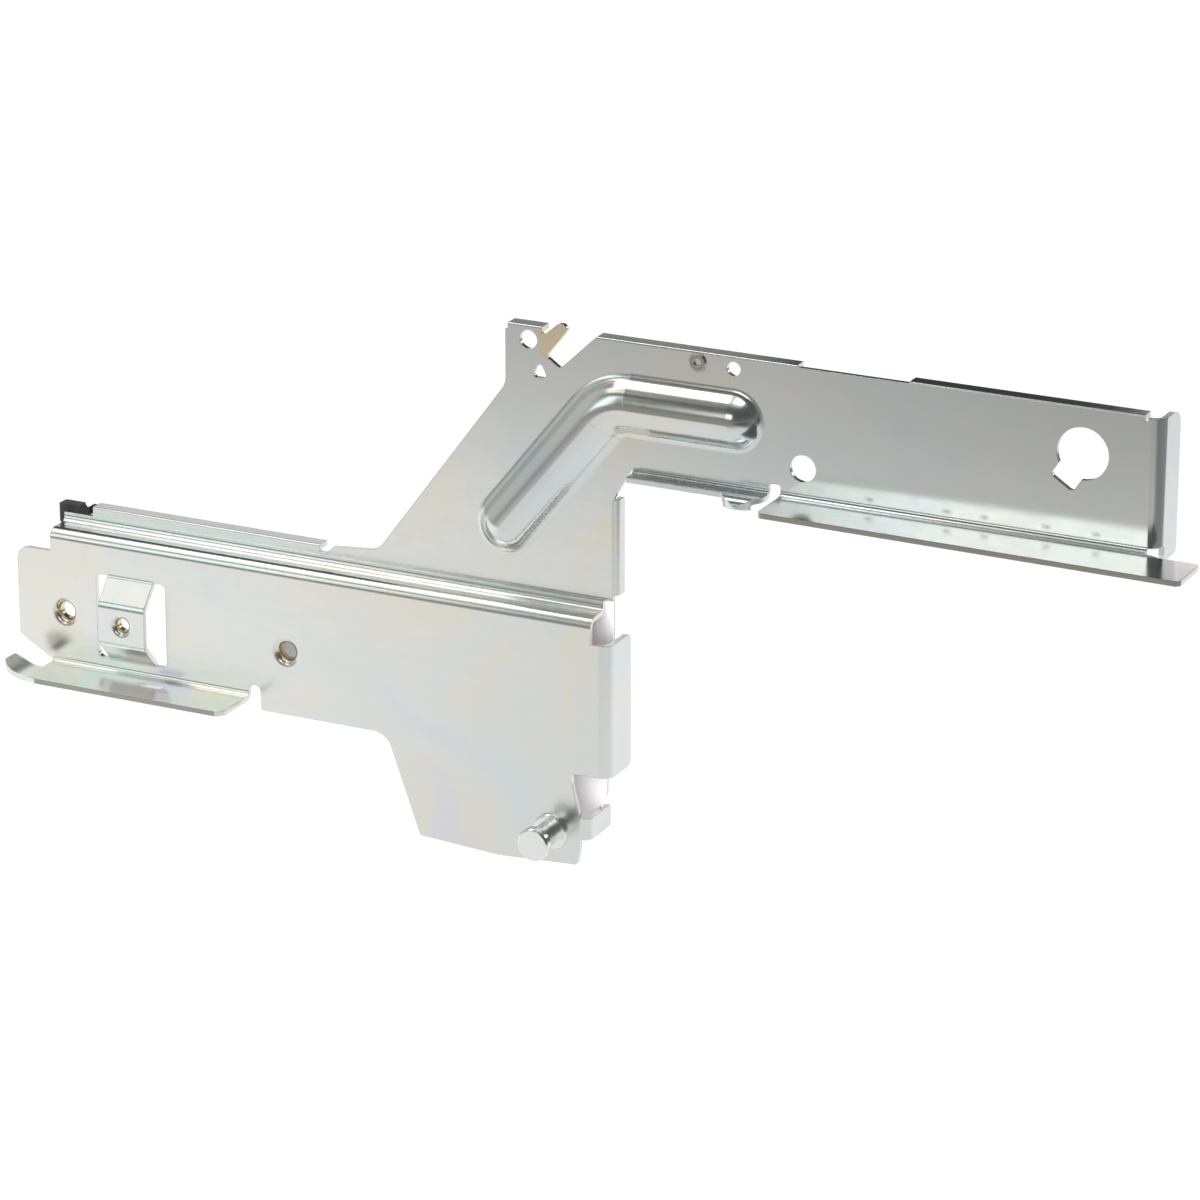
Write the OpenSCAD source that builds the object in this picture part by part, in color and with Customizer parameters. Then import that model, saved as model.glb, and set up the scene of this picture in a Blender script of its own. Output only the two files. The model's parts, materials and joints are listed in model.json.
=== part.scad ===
// Hinge bracket: two pressed sheets, a riveted stud and a rubber buffer.
// X runs right, Y away from the viewer, Z up, in millimetres.
// The origin is on the stud's axis, in the middle of its neck.
// The shapes are drawn from the front plate's front face, and each node is then moved to that origin.

/* [Sheet] */
// Thickness of both sheets
sheet_t = 1.5; // [1.2:0.1:1.8]
// Inside radius of a pressed fold
fold_in = 1.5; // [1:0.1:1.8]
// Inside radius of the arm's narrow rear flanges
rim_fold_in = 0.5; // [0.3:0.1:0.8]
// Outer rounding of those folds, which are pressed sharp
rim_corner = 0.5; // [0.3:0.1:1]
// Inside radius of the two tall end folds
end_fold_in = 2; // [1.5:0.1:2.5]
// Distance from the front plate's face to the arm's face
arm_y = 10; // [9.5:0.1:10.5]
// Corner rounding left by the blanking die
die_r = 0.8; // [0.3:0.1:1.2]

/* [Front plate] */
// Left edge of the front plate
plate_left = -176.5; // [-180:0.5:-172]
// Top of the front plate left of the ledge
plate_top = 59.4; // [58.5:0.1:60]
// Radius of the plate's top left corner
plate_corner_r = 4; // [1:0.5:6]
// Height where the left edge turns into its chamfer
chamfer_z = 31.9; // [29:0.1:35]
// Left end of the foot flange's fold
foot_left = -165; // [-168:0.5:-162]
// Right end of the foot flange's fold
foot_right = -98.5; // [-102:0.5:-96]
// Width of the relief slot beside the foot
relief_w = 4; // [3:0.5:5]
// Top of the relief slot
relief_z = 28.5; // [28.5:0.5:32]
// Bottom edge of the plate between foot and stud area
waist_z = 21; // [19:0.5:23]
// Right end of that bottom edge
waist_right = -53; // [-58:0.5:-50]
// Left end of the lowest edge
toe_left = -41.5; // [-45:0.5:-38]
// Level of the lowest edge at its left end
toe_z = -8.9; // [-10:0.1:-7]
// Level of the lowest edge at its middle
toe_mid_z = -10.4; // [-11.5:0.1:-9.5]
// Right end of the lowest edge
toe_right = 8.3; // [6:0.1:9]
// Rounding of the plate's large corners
plate_r = 6; // [3:0.5:8]
// Right edge of the plate beside the stud
lug_x = 12.2; // [11.8:0.1:13]
// Bottom of the lower lug
lug_low = -1; // [-2:0.1:0]
// Top of the lower lug
lug_high = 5.5; // [4:0.1:7]
// How far the notch reaches in from the right
notch_x = 6.7; // [6:0.1:8]
// Level where the notch's straight side begins
notch_z = 16; // [12:0.5:17]
// Outer face of the plate's end flange
end_x = 18.5; // [18:0.1:20]
// Bottom of the end flange
end_low = 18.8; // [18:0.1:22]
// Top of the end flange
end_high = 58.8; // [56:0.1:60]
// Depth of the end flange and the lug, from the front face
end_depth = 14; // [12.5:0.5:16]
// Rounding of the end flange's rear corners
end_r = 2; // [1:0.5:4]

/* [Ledge] */
// Left end of the ledge
ledge_left = -164.9; // [-168:0.1:-160]
// Right end of the ledge
ledge_right = 12.5; // [10:0.1:13]
// Top face of the ledge
ledge_z = 66.3; // [65:0.1:68]
// Radius where the ledge turns up into the lip
lip_r = 2; // [1.5:0.1:2.2]
// Top edge of the lip
lip_z = 69; // [68.8:0.1:70]

/* [Foot] */
// Top face of the foot flange
foot_z = 25; // [24:0.5:26]
// How far the foot reaches toward the viewer
foot_reach = 16; // [14:0.5:18]
// Rounding of the foot's front right corner
foot_r = 3; // [1:0.5:5]
// Depth of the open corner at the foot's left end
tongue_back = 6.5; // [5:0.5:8]
// Front edge of the tongue, from the front face
tongue_front = 15.2; // [14:0.1:15.9]
// Radius of the tongue's upward curl
curl_r = 12; // [10:0.5:16]
// Angle of the curl
curl_angle = 45; // [30:1:55]
// Rounding of the tongue's tip
tip_r = 3.5; // [2:0.5:4]
// Left end of the foot's slot
slot_left = -132; // [-136:0.5:-130]
// Length of the foot's slot
slot_len = 8; // [6:0.5:10]
// Width of the foot's slot
slot_w = 3; // [2:0.5:4]
// Distance of the slot's centre line from the front face
slot_y = 6; // [5:0.5:8]

/* [Window and bridge] */
// Left edge of the window
window_left = -149.5; // [-151:0.1:-148.5]
// Right edge of the window
window_right = -126; // [-127:0.1:-124]
// Bottom of the window
window_low = 28.8; // [28:0.1:30]
// Top of the window
window_high = 54.7; // [53.5:0.1:56]
// Rounding of the window's corners
window_r = 1.8; // [0.5:0.1:2]
// Left edge of the lanced bridge
bridge_left = -145.4; // [-146.5:0.1:-144.5]
// Right edge of the lanced bridge
bridge_right = -130; // [-131:0.1:-129]
// How far the bridge stands out
bridge_out = 6; // [4:0.1:7]
// Height over which each end of the bridge slopes out
bridge_run = 6.9; // [5:0.1:8]
// Diameter of the bridge's screw hole
bridge_hole_d = 4; // [3:0.1:4.5]
// Diameter of the rounded entry of that hole
bridge_entry_d = 7.4; // [6:0.1:8]
// Level of the bridge's screw hole
bridge_hole_z = 42; // [41:0.1:43]

/* [Plunged screw holes] */
// Diameter of the plunged holes
plunge_d = 5; // [4:0.1:5.5]
// Diameter of their rounded entry
plunge_entry_d = 9.3; // [8:0.1:10]
// Wall left around a plunged hole
plunge_wall = 1; // [0.8:0.1:1.3]
// How far the collar reaches behind the front face
plunge_depth = 3.6; // [3.2:0.1:4.5]
// Place of the left plunged hole
plunge_a_x = -160.5; // [-163:0.1:-158]
// Level of the left plunged hole
plunge_a_z = 41; // [38:0.1:44]
// Place of the right plunged hole
plunge_b_x = -85.8; // [-90:0.1:-80]
// Level of the right plunged hole
plunge_b_z = 40.4; // [37:0.1:44]

/* [Stud] */
// Diameter of the stud's neck
neck_d = 7; // [6:0.1:7.5]
// Diameter of the stud's head
head_d = 9.8; // [9:0.1:11]
// Thickness of the stud's head
head_t = 3; // [2:0.1:4]
// Distance from the plate to the head's face
head_y = 12; // [10:0.1:14]
// Diameter of the collar against the plate
collar_d = 10.8; // [10:0.1:12]
// Thickness of the collar
collar_t = 1.2; // [0.8:0.1:2]
// Chamfer of the head's edges
head_chamfer = 0.5; // [0.2:0.1:0.8]
// Diameter of the tenon through the arm
tenon_d = 5.5; // [4.5:0.1:6]
// Diameter of the rivet head behind the arm
rivet_d = 8.4; // [8:0.1:9]
// Thickness of the rivet head
rivet_t = 1.3; // [1:0.1:1.6]
// Radial clearance of the stud in both sheets
stud_gap = 0.05; // [0.02:0.01:0.1]

/* [Arm: tail and foot end] */
// Left end of the tail
tail_left = -157; // [-158:0.5:-154]
// Top of the tail
tail_top = 71.3; // [70.5:0.1:72]
// Lower edge of the tail
tail_low = 56; // [54:0.5:58]
// Right end of the tail's full height above the window
tail_step = -115; // [-118:0.5:-112]
// Where the deeper part of the arm begins
web_left = -100; // [-102:0.5:-96]
// Lower edge of the deeper part
web_low = 24; // [23:0.5:27]
// Right end of that lower edge
web_right = -57; // [-62:0.5:-54]
// Radius of the arm's round end about the stud
boss_r = 9; // [8:0.1:9.2]
// Distance from the tail's end to its top flange
tail_flange_inset = 1; // [0.5:0.1:3]
// Right end of the tail's top flange
tail_flange_right = -79.5; // [-84:0.1:-79.2]
// Width of the notch at the end of that flange
nick_w = 4.5; // [3:0.5:5]
// Depth of that notch
nick_h = 2.2; // [1:0.1:2.4]
// Depth of the arm's rear flanges, from the arm's face
rim_depth = 4.5; // [4:0.1:6]

/* [Arm: blade] */
// Foot of the diagonal edge
slope_foot_x = -60.4; // [-62:0.1:-58]
// Level of that point
slope_foot_z = 72.6; // [71.5:0.1:74]
// Left edge of the ear
ear_left = -18.8; // [-19.5:0.1:-18]
// Height of the ear's left edge
ear_h = 18.1; // [16:0.1:19]
// Height of the ear above the blade's top
ear_rise = 0.6; // [0.2:0.1:1.6]
// Right end of the ear's rear flange
ear_rim_right = -7.3; // [-9:0.1:-7]
// Centre of the ear's hole across
ear_hole_x = -11.5; // [-12:0.1:-11]
// Distance of the ear's hole from the ear's top
ear_hole_drop = 4.2; // [4.2:0.1:4.6]
// Diameter of the ear's hole
ear_hole_d = 5.4; // [4.8:0.1:5.4]
// Tip of the hook across
hook_x = 0.8; // [0:0.1:1.5]
// Height of the hook's tip above the blade's top
hook_rise = 2.2; // [1.6:0.1:3]
// Left corner of the notch behind the hook
notch_in_x = -6; // [-6.4:0.1:-5.5]
// Depth of the notch's left corner below the blade's top
notch_in_drop = 7.8; // [7.2:0.1:8.5]
// Lowest corner of the notch across
notch_low_x = -1.7; // [-2.2:0.1:-1]
// Depth of the notch's lowest corner below the blade's top
notch_low_drop = 10.8; // [10:0.1:11.5]
// Width of the small three-cornered hole under the notch
pip_w = 5; // [4.4:0.1:5.2]
// Height of that hole
pip_h = 5; // [4.4:0.1:5.2]
// Centre of that hole across
pip_x = -8; // [-8.4:0.1:-7.6]
// Depth of that hole's lower side below the blade's top
pip_drop = 14.3; // [14:0.1:14.8]
// Rounding of its corners
pip_r = 0.9; // [0.5:0.1:1]
// Left end of the blade's straight top
blade_top_left = 9.6; // [9:0.1:12]
// Top of the blade
blade_top = 146; // [145:0.1:146.6]
// Left rear flange ends here
rim_a_right = 70.4; // [68:0.1:71]
// Right rear flange begins here
rim_b_left = 103.5; // [103:0.1:106]
// Right rear flange ends here
rim_b_right = 171; // [168:0.1:171.2]
// Depth of the recess between the two rear flanges
rim_step = 0.5; // [0.3:0.1:1]
// Outer face of the blade's end flange
blade_end_x = 176.3; // [176:0.1:178]
// Depth of the blade's end flange, from the arm's face
blade_end_depth = 13.5; // [12:0.5:16]
// Bottom of the blade's end flange
blade_end_low = 109; // [108.6:0.1:110]
// Bottom of that flange behind the lower flange
blade_end_foot = 104.5; // [104:0.5:106]
// Depth of the end flange's top below the blade's top
blade_end_drop = 0.8; // [0.5:0.1:2]
// Rounding of that flange's upper rear corner
blade_end_r = 5; // [2:0.5:7]
// Right edge of the arm above the front plate
side_x = 14.8; // [14.5:0.1:15.2]
// Outer face of the arm's side flange
side_flange_x = 16.3; // [16.2:0.1:17]
// Bottom of the side flange
side_flange_low = 70.5; // [70:0.1:72]
// Top of the side flange
side_flange_high = 99; // [96:0.1:99.5]
// Where the arm begins to narrow toward the stud
narrow_z = 55; // [50:0.5:58]
// Right edge of the arm just above the stud
narrow_x = 12.6; // [12:0.1:13.5]
// Level of that narrow point
narrow_low = 9.5; // [9:0.5:12]

/* [Arm: lower flange] */
// Top face of the lower flange
shelf_z = 108; // [107.5:0.1:108.5]
// Left end of the short lip
lip_left = 21; // [20.5:0.5:24]
// How far the short lip reaches toward the viewer
lip_reach = 4.6; // [4:0.1:6]
// Left end of the half-round tab
tab_left = 49.5; // [49:0.5:51]
// Right end of the half-round tab
tab_right = 62.5; // [61:0.5:63]
// How far the tab reaches toward the viewer
tab_reach = 8.5; // [8:0.5:10]
// How far the tab's front is turned down
tab_turn = 3; // [2.6:0.1:3.6]
// Left end of the long lower flange
shelf_left = 66; // [65:0.5:68]
// Right end of the lower flange
shelf_right = 188.9; // [185:0.1:190]
// How far the flange reaches at its left end
shelf_reach = 16.2; // [15:0.1:18]
// How far the flange reaches at its right end
shelf_reach_end = 18.4; // [17:0.1:20]
// Where the flange's free right tab begins
shelf_tab_x = 177.3; // [177:0.1:180]
// Rear edge of the free tab, in front of the arm's face
shelf_tab_back = 3; // [2:0.5:6]
// Corner rounding of the flange
shelf_r = 1.5; // [0.5:0.1:3]

/* [Arm: openings] */
// Diameter of the round hole in the blade
blade_hole_d = 7.8; // [7:0.1:8.5]
// Place of the round hole
blade_hole_x = 72.6; // [70:0.1:75]
// Level of the round hole
blade_hole_z = 116.7; // [115:0.1:118]
// Diameter of the keyhole's round part
key_d = 14.8; // [13:0.1:16]
// Place of the keyhole
key_x = 153.9; // [152:0.1:156]
// Depth of the keyhole's centre below the blade's top
key_drop = 13.2; // [12:0.1:14]
// Width of the keyhole's slot
key_slot_w = 7.7; // [6:0.1:9]
// Rounding of the slot's corners
key_slot_r = 1; // [0.5:0.1:1.5]
// Reach of the keyhole's slot from the centre
key_slot_reach = 10.65; // [9:0.05:11.5]
// Direction of the keyhole's slot
key_angle = -123; // [-130:1:-115]
// Diameter of the small hole by the top edge
top_hole_d = 4.1; // [3:0.1:4.1]
// Place of that hole
top_hole_x = 51.5; // [50:0.1:53]
// Depth of that hole below the blade's top
top_hole_drop = 3.6; // [3.6:0.1:5]
// Outer diameter of the pressed ring
ring_d = 4.7; // [4.4:0.1:4.8]
// Diameter of the dimple in the ring
ring_in_d = 2.2; // [1.8:0.1:2.6]
// Height of the ring
ring_h = 0.7; // [0.5:0.1:0.9]
// Place of the ring
ring_x = 40.7; // [39:0.1:42]
// Depth of the ring below the blade's top
ring_drop = 3; // [2.9:0.1:4]

/* [Rib] */
// Width of the rib across its feet
rib_w = 19; // [18:0.1:20]
// Height of the rib
rib_h = 5.4; // [4.8:0.1:5.8]
// Radius where the rib's wall runs out into the sheet
rib_foot_r = 2.8; // [2:0.1:3.2]
// Centre of the rib's lower end across
rib_low_x = -18.6; // [-20:0.1:-17]
// Centre of the rib's lower end up
rib_low_z = 87.2; // [85:0.1:89]
// Angle of the rib's diagonal leg
rib_angle = 51.2; // [50:0.1:52]
// Depth of the rib's upper leg below the blade's top
rib_drop = 18.5; // [18:0.1:19.5]
// Centre of the rib's right end
rib_right = 51.5; // [48:0.1:53]
// Radius of the rib's bend along its centre line
rib_bend_r = 13; // [11:0.5:16]

/* [Buffer] */
// How far the buffer reaches past the tail's end
buffer_reach = 11.5; // [8:0.5:12]
// Depth of the buffer's top below the tail's top
buffer_drop = 0.3; // [0:0.1:1]
// Bottom of the buffer
buffer_low = 65; // [62:0.5:66]
// Rounding of the buffer's upper corners
buffer_r = 1.6; // [0.8:0.1:1.8]
// Thickness of the rubber around the tail
buffer_wall = 2.2; // [1.6:0.1:2.8]
// How far the buffer grips over the tail
buffer_grip = 8; // [6:0.5:10]
// Space between the buffer and the fold above it
buffer_gap = 0.3; // [0.2:0.1:0.5]
// Width of the rounded notch between its two lobes
buffer_notch_d = 3; // [2:0.1:4]

/* [Hidden] */
$fn = 96;
slack = 1;
// A corner's circle is this much larger, so that it crosses both edges cleanly.
ease = 0.002;
// The rib's bend is this much slimmer than its two legs,
seam = 0.03;
// and turns this many degrees into each of them.
seam_turn = 1;
// The rib's crown is cut flat by this much, so that the domes at its ends close cleanly.
crown_flat = 0.001;
fold_out = fold_in + sheet_t;
end_fold_out = end_fold_in + sheet_t;
rim_fold_out = rim_fold_in + sheet_t;
arm_back = arm_y + sheet_t;
fold_z = shelf_z + fold_in;
ear_top = blade_top + ear_rise;
ear_low = ear_top - ear_h;
ear_hole_z = ear_top - ear_hole_drop;
hook_z = blade_top + hook_rise;
notch_in_z = blade_top - notch_in_drop;
notch_low_z = blade_top - notch_low_drop;
pip_z = blade_top - pip_drop;
blade_end_top = blade_top - blade_end_drop;
key_z = blade_top - key_drop;
top_hole_z = blade_top - top_hole_drop;
ring_z = blade_top - ring_drop;
rib_z = blade_top - rib_drop;
tail_flange_left = tail_left + tail_flange_inset;
buffer_left = tail_left - buffer_reach;
buffer_top = tail_top - buffer_drop;
plate_hole_d = neck_d + 2 * stud_gap;
tenon_hole_d = tenon_d + 2 * stud_gap;
rib_round = (rib_w * rib_w / 4 + rib_h * rib_h) / (2 * rib_h) - rib_foot_r;
// The centres of the rib's crown and of its foot's rounding, across and outward from the sheet
crown = [0, rib_h - rib_round];
footing = [rib_w / 2, rib_foot_r];
rib_turn_x = rib_low_x + (rib_z - rib_low_z) / tan(rib_angle);
rib_trim = rib_bend_r * tan(rib_angle / 2);
rib_leg = (rib_z - rib_low_z) / sin(rib_angle) - rib_trim;
bridge_mid_x = (bridge_left + bridge_right) / 2;
bridge_mitre = sheet_t * tan(atan(bridge_out / bridge_run) / 2);
bridge_high = window_high;
bridge_low = window_low;
buffer_right = tail_left + buffer_grip;

neck_mid = (head_y - head_t + collar_t) / 2;

// Outlines are lists of [across, up, corner radius].
function turn(a, b, c) = (b[0] - a[0]) * (c[1] - b[1]) - (b[1] - a[1]) * (c[0] - b[0]);
function sum(list, i = 0) = i == len(list) ? 0 : list[i] + sum(list, i + 1);
function area(p) = sum([for (i = [0:len(p) - 1])
  p[i][0] * p[(i + 1) % len(p)][1] - p[(i + 1) % len(p)][0] * p[i][1]]);
function unit(v) = v / norm(v);
function flat(p) = [p[0], p[1]];

// The sliver between a corner at b and the circle that rounds it.
module corner(a, b, c) {
  u = unit(flat(a) - flat(b));
  v = unit(flat(c) - flat(b));
  half = acos(u * v) / 2;
  mid = flat(b) + unit(u + v) * b[2] / sin(half);
  tu = flat(b) + u * b[2] / tan(half);
  tv = flat(b) + v * b[2] / tan(half);
  grow = 1.15;
  difference() {
    polygon([mid, mid + (tu - mid) * grow, mid + (flat(b) - mid) * grow, mid + (tv - mid) * grow]);
    translate(mid)
      circle(r = b[2] + ease);
  }
}

// A closed outline with every corner rounded by its own radius.
module outline(p) {
  way = area(p) > 0 ? 1 : -1;
  n = len(p);
  difference() {
    union() {
      polygon([for (q = p) flat(q)]);
      for (i = [0:n - 1])
        if (p[i][2] > 0 && way * turn(p[(i + n - 1) % n], p[i], p[(i + 1) % n]) < 0)
          corner(p[(i + n - 1) % n], p[i], p[(i + 1) % n]);
    }
    for (i = [0:n - 1])
      if (p[i][2] > 0 && way * turn(p[(i + n - 1) % n], p[i], p[(i + 1) % n]) > 0)
        corner(p[(i + n - 1) % n], p[i], p[(i + 1) % n]);
  }
}

// Extrudes an X-Z outline backward from y0 to y1.
module upright(y0, y1) {
  translate([0, y1, 0])
    rotate([90, 0, 0])
      linear_extrude(height = y1 - y0)
        children();
}

// Extrudes a Y-Z outline along X from x0 to x1.
module along_x(x0, x1) {
  translate([x0, 0, 0])
    rotate([90, 0, 90])
      linear_extrude(height = x1 - x0)
        children();
}

// Extrudes an X-Y outline upward from z0 to z1.
module along_z(z0, z1) {
  translate([0, 0, z0])
    linear_extrude(height = z1 - z0)
      children();
}

// Turns a shape made about Z so that its Z runs toward the back.
module facing(x, y, z) {
  translate([x, y, z])
    rotate([-90, 0, 0])
      children();
}

// A rear flange along the top of a sheet whose face is at y; top is the outer face.
module rim(x0, x1, y, top, depth) {
  along_x(x0, x1)
    outline([
      [y, top - rim_fold_out, 0],
      [y, top, rim_corner],
      [y + depth, top, 0],
      [y + depth, top - sheet_t, 0],
      [y + sheet_t, top - sheet_t, rim_fold_in],
      [y + sheet_t, top - rim_fold_out, 0]
    ]);
}

// A flange folded back at the right end of a sheet; x is its outer face.
module side(x, y, depth, z0, z1, inside, corner_low, corner_high) {
  outside = inside + sheet_t;
  intersection() {
    along_z(z0, z1)
      outline([
        [x - outside, y, 0],
        [x, y, outside],
        [x, y + depth, 0],
        [x - sheet_t, y + depth, 0],
        [x - sheet_t, y + sheet_t, inside],
        [x - outside, y + sheet_t, 0]
      ]);
    along_x(x - outside - slack, x + slack)
      outline([
        [y - slack, z0 - slack, 0],
        [y - slack, z1 + slack, 0],
        [y + depth - corner_high, z1 + slack, 0],
        [y + depth - corner_high, z1, 0],
        [y + depth, z1, corner_high],
        [y + depth, z0, corner_low],
        [y + depth - corner_low, z0, 0],
        [y + depth - corner_low, z0 - slack, 0]
      ]);
  }
}

// A flange folded toward the viewer at the bottom of a sheet; top is its upper face.
module shelf(x0, x1, y, top, reach) {
  along_x(x0, x1)
    outline([
      [y, top + fold_in, 0],
      [y, top, fold_in],
      [y - reach, top, 0],
      [y - reach, top - sheet_t, 0],
      [y + sheet_t, top - sheet_t, fold_out],
      [y + sheet_t, top + fold_in, 0]
    ]);
}

// The collar behind a plunged hole.
module plunge_collar(x, y, z, bore_d) {
  facing(x, y, z)
    cylinder(h = plunge_depth, d = bore_d + 2 * plunge_wall);
}

// The rounded entry and the bore of a plunged hole.
module plunge_bore(x, y, z, bore_d, entry_d) {
  entry = (entry_d - bore_d) / 2;
  facing(x, y, z) {
    rotate_extrude()
      difference() {
        square([entry_d / 2, entry]);
        translate([entry_d / 2, entry])
          circle(r = entry);
      }
    translate([0, 0, -slack])
      cylinder(h = plunge_depth + 2 * slack, d = bore_d);
  }
}

module plate_sheet() {
  bottom_fold = foot_z + fold_in;
  relief_r = min(relief_w / 2, relief_z - bottom_fold) - slack / 10;
  upright(0, sheet_t)
    difference() {
      outline([
        [plate_left, chamfer_z, die_r],
        [foot_left - slack, bottom_fold - slack, 0],
        [foot_left, bottom_fold - slack, 0],
        [foot_left, bottom_fold, 0],
        [foot_right, bottom_fold, 0],
        [foot_right, relief_z, relief_r],
        [foot_right + relief_w, relief_z, relief_r],
        [foot_right + relief_w, waist_z, die_r],
        [waist_right, waist_z, plate_r],
        [toe_left - die_r, toe_z, die_r],
        [toe_left + plate_r, toe_z - die_r / 2, plate_r],
        [(toe_left + toe_right) / 2, toe_mid_z, 0],
        [toe_right, toe_z, die_r],
        [lug_x - fold_out, lug_low - fold_out, die_r],
        [lug_x - fold_out, lug_high, 0],
        [notch_x, notch_z, 0],
        [notch_x, end_low, die_r],
        [end_x - end_fold_out, end_low, 0],
        [end_x - end_fold_out, end_high, 0],
        [ledge_right, end_high, 0],
        [ledge_right, ledge_z - fold_out, 0],
        [ledge_left, ledge_z - fold_out, 0],
        [ledge_left, plate_top, die_r],
        [plate_left, plate_top, plate_corner_r]
      ]);
      outline([
        [window_left, window_low, window_r],
        [window_right, window_low, window_r],
        [window_right, window_high, window_r],
        [window_left, window_high, window_r]
      ]);
    }
}

module ledge() {
  along_x(ledge_left, ledge_right)
    outline([
      [0, ledge_z - fold_out, 0],
      [0, ledge_z, fold_out],
      [arm_y - sheet_t, ledge_z, lip_r],
      [arm_y - sheet_t, lip_z, 0],
      [arm_y, lip_z, 0],
      [arm_y, ledge_z - sheet_t, lip_r + sheet_t],
      [sheet_t, ledge_z - sheet_t, fold_in],
      [sheet_t, ledge_z - fold_out, 0]
    ]);
}

module foot() {
  difference() {
    union() {
      intersection() {
        shelf(foot_left, foot_right, 0, foot_z, foot_reach);
        along_z(foot_z - 2 * fold_out, foot_z + 2 * fold_out)
          outline([
            [foot_left, -tongue_front, 0],
            [foot_left + foot_r, -foot_reach, foot_r],
            [foot_right, -foot_reach, foot_r],
            [foot_right, fold_out, 0],
            [foot_left, fold_out, 0]
          ]);
      }
      tongue();
    }
    along_z(foot_z - fold_out, foot_z + slack)
      outline([
        [slot_left, -slot_y - slot_w / 2, slot_w / 2 - slack / 10],
        [slot_left + slot_len, -slot_y - slot_w / 2, slot_w / 2 - slack / 10],
        [slot_left + slot_len, -slot_y + slot_w / 2, slot_w / 2 - slack / 10],
        [slot_left, -slot_y + slot_w / 2, slot_w / 2 - slack / 10]
      ]);
  }
}

module tongue() {
  reach = (curl_r + sheet_t) * sin(curl_angle);
  intersection() {
    translate([foot_left, -tongue_back, foot_z + curl_r])
      rotate([90, 0, 0])
        rotate([0, 0, -90 - curl_angle])
          rotate_extrude(angle = curl_angle)
            translate([curl_r, 0])
              square([sheet_t, tongue_front - tongue_back]);
    along_z(foot_z - fold_out, foot_z + curl_r)
      outline([
        [foot_left + slack, -tongue_front, 0],
        [foot_left - reach + slack / 2, -tongue_front, tip_r],
        [foot_left - reach + slack / 2, -tongue_back, tip_r],
        [foot_left + slack, -tongue_back, 0]
      ]);
  }
}

module bridge() {
  along_x(bridge_left, bridge_right)
    outline([
      [0, bridge_high + slack, 0],
      [0, bridge_high, fold_in],
      [-bridge_out, bridge_high - bridge_run, fold_out],
      [-bridge_out, bridge_low + bridge_run, fold_out],
      [0, bridge_low, fold_in],
      [0, bridge_low - slack, 0],
      [sheet_t, bridge_low - slack, 0],
      [sheet_t, bridge_low + bridge_mitre, fold_out],
      [sheet_t - bridge_out, bridge_low + bridge_run + bridge_mitre, fold_in],
      [sheet_t - bridge_out, bridge_high - bridge_run - bridge_mitre, fold_in],
      [sheet_t, bridge_high - bridge_mitre, fold_out],
      [sheet_t, bridge_high + slack, 0]
    ]);
}

module front_channel() {
  color("silver")
    translate([0, neck_mid, 0])
    difference() {
      union() {
        plate_sheet();
        ledge();
        side(end_x, 0, end_depth, end_low, end_high, end_fold_in, end_r, end_r);
        side(lug_x, 0, end_depth, lug_low, lug_high, fold_in, die_r, die_r);
        foot();
        bridge();
        plunge_collar(plunge_a_x, 0, plunge_a_z, plunge_d);
        plunge_collar(plunge_b_x, 0, plunge_b_z, plunge_d);
        facing(bridge_mid_x, -bridge_out, bridge_hole_z)
          cylinder(h = plunge_depth, d = bridge_hole_d + 2 * plunge_wall);
      }
      plunge_bore(plunge_a_x, 0, plunge_a_z, plunge_d, plunge_entry_d);
      plunge_bore(plunge_b_x, 0, plunge_b_z, plunge_d, plunge_entry_d);
      plunge_bore(bridge_mid_x, -bridge_out, bridge_hole_z, bridge_hole_d, bridge_entry_d);
      facing(0, -slack, 0)
        cylinder(h = sheet_t + 2 * slack, d = plate_hole_d);
    }
}

// Half of the rib's cross-section, crown at the left; inset is 0 for its outside, sheet_t for its inside.
module rib_half(inset) {
  r = rib_round - inset;
  joint = crown + (footing - crown) * r / (rib_round + rib_foot_r);
  low = -sheet_t / 2 - inset;
  difference() {
    union() {
      intersection() {
        translate(crown)
          circle(r = r);
        translate([0, low])
          square([joint[0], rib_h - inset - low - crown_flat]);
      }
      polygon([[joint[0], low], [rib_w / 2, low], [rib_w / 2, -inset], joint]);
    }
    translate(footing)
      circle(r = rib_foot_r + inset + ease);
  }
}

module rib_section(inset) {
  rib_half(inset);
  mirror([1, 0])
    rib_half(inset);
}

// One straight leg of the rib, running from x, z in the direction of angle.
module rib_bar(x, z, angle, length, inset) {
  translate([x, arm_y, z])
    rotate([180, -90 - angle, 0])
      linear_extrude(height = length)
        rib_section(inset);
}

// A turned piece of the rib about x, z, from one direction through the angle.
module rib_turned(x, z, from, angle) {
  translate([x, arm_y, z])
    rotate([90, 0, 0])
      rotate([0, 0, from])
        rotate_extrude(angle = angle)
          children();
}

// The whole rib: a leg, a bend, a leg, and a half dome at each end.
module rib_bead(inset) {
  start_x = rib_turn_x + rib_trim;
  rib_bar(rib_low_x, rib_low_z, rib_angle, rib_leg, inset);
  rib_bar(start_x, rib_z, 0, rib_right - start_x, inset);
  rib_turned(start_x, rib_z - rib_bend_r, 90 - seam_turn, rib_angle + 2 * seam_turn)
    translate([rib_bend_r, 0])
      rib_section(inset + seam);
  rib_turned(rib_low_x, rib_low_z, 90 + rib_angle, 180)
    rib_half(inset);
  rib_turned(rib_right, rib_z, -90, 180)
    rib_half(inset);
}

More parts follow.
